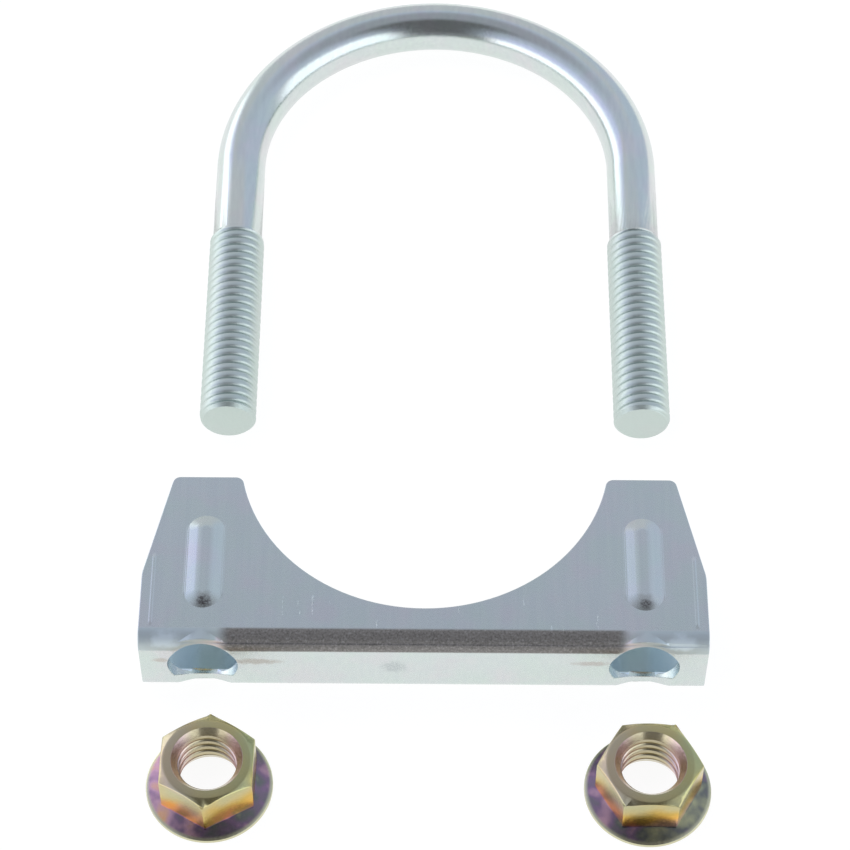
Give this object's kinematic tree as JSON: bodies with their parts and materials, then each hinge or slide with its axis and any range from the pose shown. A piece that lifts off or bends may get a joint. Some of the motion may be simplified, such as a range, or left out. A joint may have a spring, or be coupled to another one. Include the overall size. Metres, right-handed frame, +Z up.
{
  "type": "exhaust clamp",
  "caption": "U-bolt, folded saddle and flange nuts of an exhaust pipe clamp, laid out apart before fitting round a pipe of about 59 mm.",
  "frame": {"origin": "on the resting surface under the middle of the laid out pieces", "axes": "+Z up, +Y from the nuts toward the arch of the U-bolt, +X to the right seen from the nuts"},
  "size_m": [0.0888, 0.1704, 0.0156],
  "materials": {
    "clear_zinc": "bright zinc plate with a blue cast",
    "yellow_zinc": "iridescent yellow zinc plate"
  },
  "bodies": {
    "root": {"u_bolt": "clear_zinc", "saddle": "clear_zinc", "left_nut": "yellow_zinc", "right_nut": "yellow_zinc"}
  },
  "joints": []
}
